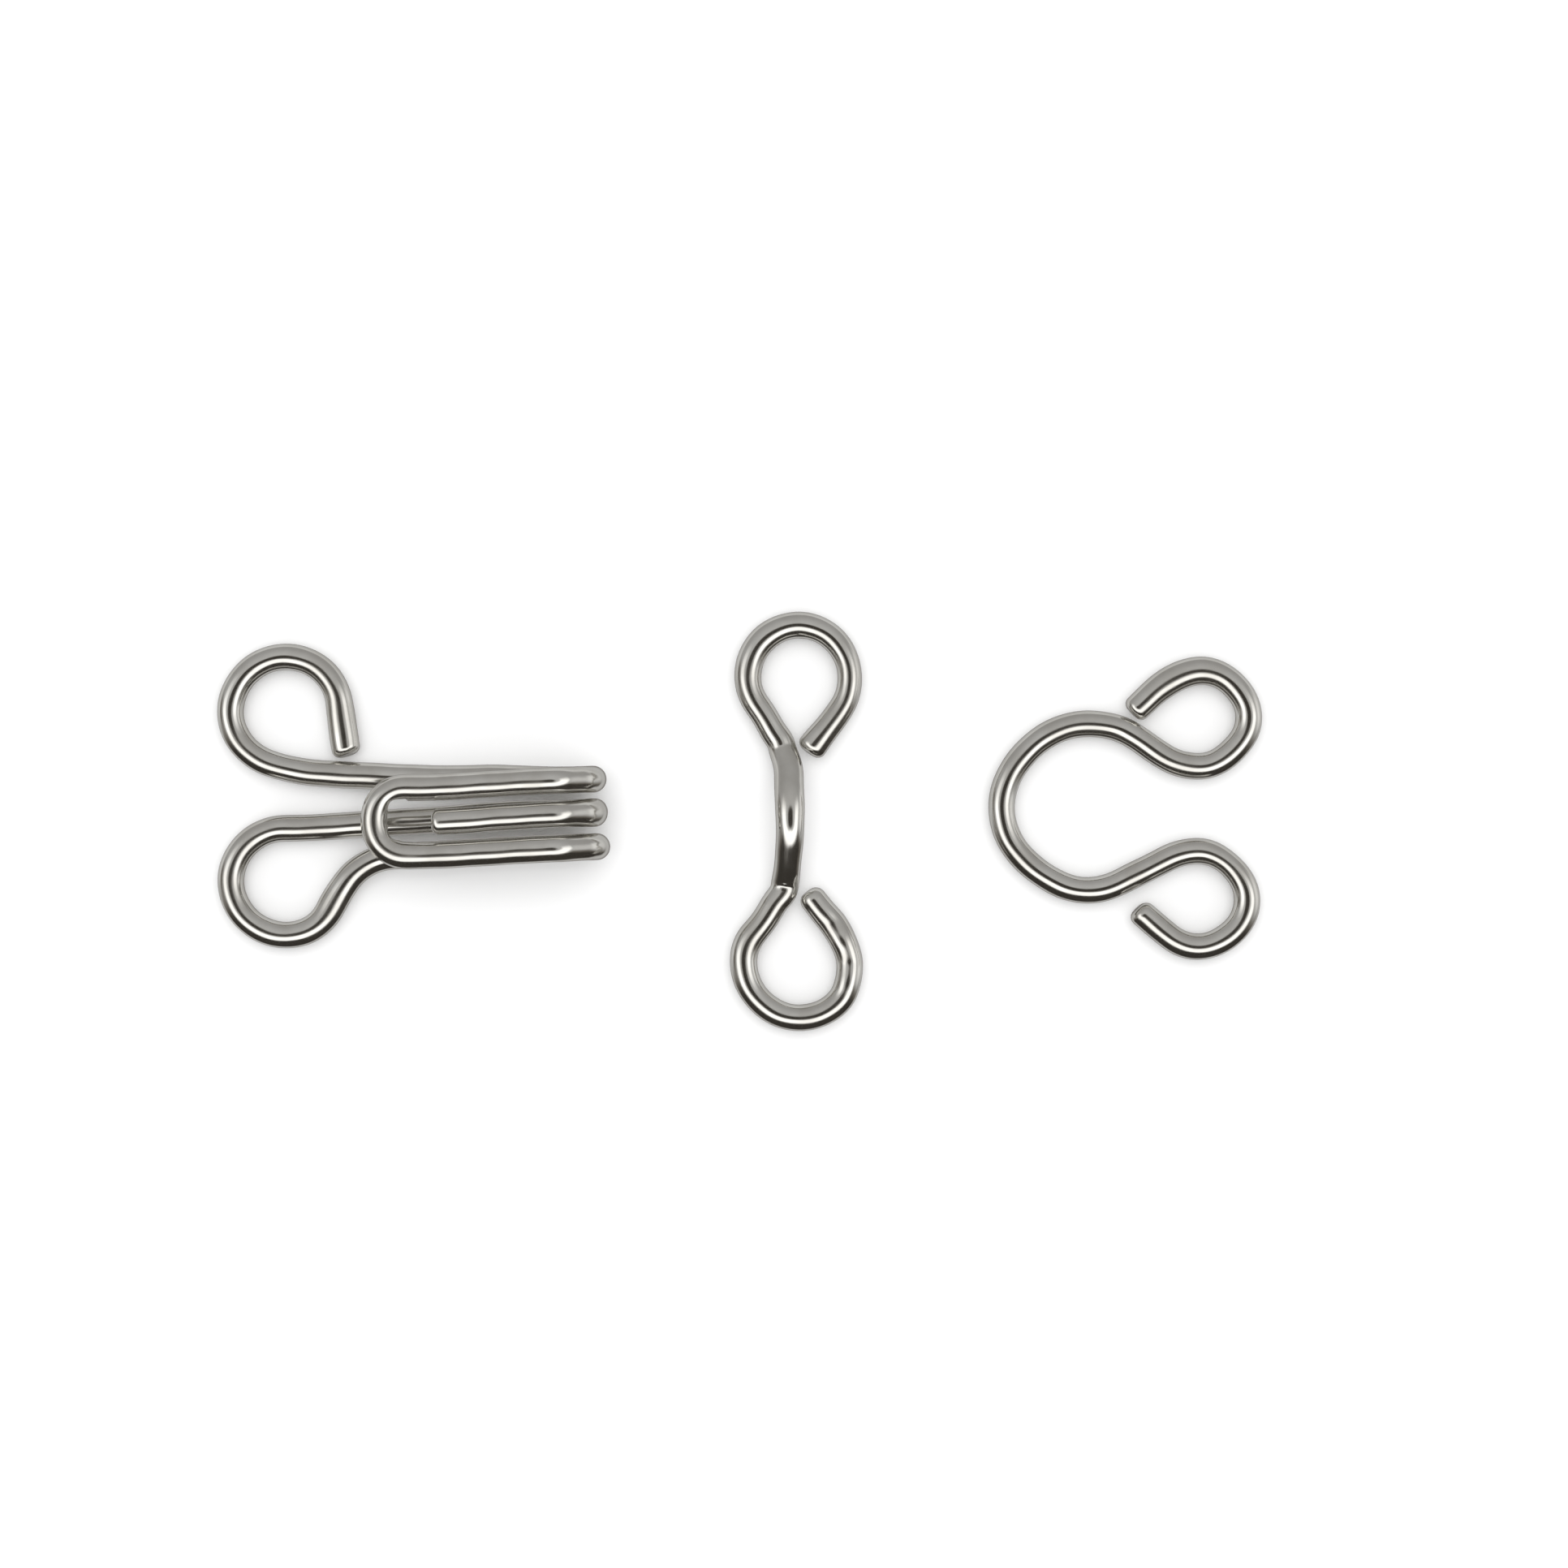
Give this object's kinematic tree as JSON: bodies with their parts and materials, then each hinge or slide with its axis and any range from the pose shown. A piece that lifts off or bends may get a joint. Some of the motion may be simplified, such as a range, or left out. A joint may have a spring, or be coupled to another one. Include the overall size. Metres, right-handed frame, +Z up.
{
  "type": "hook and eye clasp",
  "caption": "Sewing hook with a straight eye and a round eye, each bent from one length of plated steel wire; the hook's folded tongue catches an eye to close a garment.",
  "frame": {"origin": "on the table, under the middle of the box round the three wires as they lie", "axes": "+Z up from the table, +X from the hook towards the eyes, +Y along the straight eye's bar"},
  "size_m": [0.0396, 0.0158, 0.0033],
  "materials": {
    "wire": "bright nickel plate on steel wire"
  },
  "bodies": {
    "root": {"hook": "wire", "straight_eye": "wire", "round_eye": "wire"}
  },
  "joints": []
}
